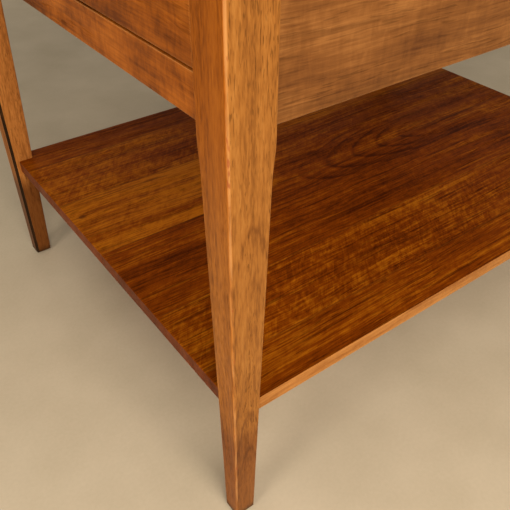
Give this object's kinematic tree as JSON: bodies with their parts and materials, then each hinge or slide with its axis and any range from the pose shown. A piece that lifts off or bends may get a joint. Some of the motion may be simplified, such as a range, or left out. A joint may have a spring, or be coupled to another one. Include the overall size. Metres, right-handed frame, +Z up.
{
  "type": "side table with drawer",
  "caption": "Rectangular wooden side table with a wide top, a sliding drawer at one end, tapered square legs and a low open shelf notched round the legs.",
  "frame": {"origin": "on the floor under the middle of the table", "axes": "+Z up; X along the long side, with the drawer opening towards -X; Y across, left is +Y"},
  "size_m": [0.724, 0.546, 0.542],
  "materials": {
    "walnut_leg": "oiled walnut, satin",
    "walnut_apron": "oiled walnut, satin",
    "walnut_shelf": "oiled walnut, semi-gloss, worn",
    "walnut_top": "oiled walnut, semi-gloss",
    "walnut_drawer_front": "oiled walnut, satin",
    "drawer_side_wood": "planed, unfinished secondary wood",
    "plywood": "thin plywood, unfinished",
    "frame_wood": "planed, unfinished secondary wood",
    "dowel_beech": "fluted dowel rod, dry",
    "knob_walnut": "turned walnut, waxed",
    "screw_steel": "slotted, dull",
    "glide_steel": "domed, polished by wear"
  },
  "bodies": {
    "carcass": {"leg_front_left": "walnut_leg", "leg_front_right": "walnut_leg", "leg_back_left": "walnut_leg", "leg_back_right": "walnut_leg", "side_apron_left": "walnut_apron", "side_apron_right": "walnut_apron", "back_apron": "walnut_apron", "front_bottom_rail": "walnut_apron", "front_top_rail": "walnut_apron", "shelf_stave_1": "walnut_shelf", "shelf_stave_2": "walnut_shelf", "shelf_stave_3": "walnut_shelf", "shelf_stave_4": "walnut_shelf", "shelf_stave_5": "walnut_shelf", "shelf_stave_6": "walnut_shelf", "top_stave_1": "walnut_top", "top_stave_2": "walnut_top", "top_stave_3": "walnut_top", "top_stave_4": "walnut_top", "top_stave_5": "walnut_top", "runner_left": "frame_wood", "runner_right": "frame_wood", "kicker_left": "frame_wood", "kicker_right": "frame_wood", "drawer_stop_blocks": "frame_wood", "drawer_stop_batten": "frame_wood", "corner_blocks": "frame_wood", "apron_dowels": "dowel_beech", "rail_dowels": "dowel_beech", "shelf_dowels": "dowel_beech", "corner_screws": "screw_steel", "top_screws": "screw_steel", "foot_glides": "glide_steel"},
    "drawer": {"drawer_front": "walnut_drawer_front", "drawer_side_left": "drawer_side_wood", "drawer_side_right": "drawer_side_wood", "drawer_back": "drawer_side_wood", "drawer_bottom": "plywood", "drawer_glue_blocks": "drawer_side_wood", "drawer_back_screws": "screw_steel", "knob": "knob_walnut", "knob_screw": "screw_steel"}
  },
  "joints": [
    {"name": "drawer_slide", "type": "slide", "parent": "carcass", "child": "drawer", "axis": [-1, 0, 0], "range_m": [0, 0.34]}
  ]
}
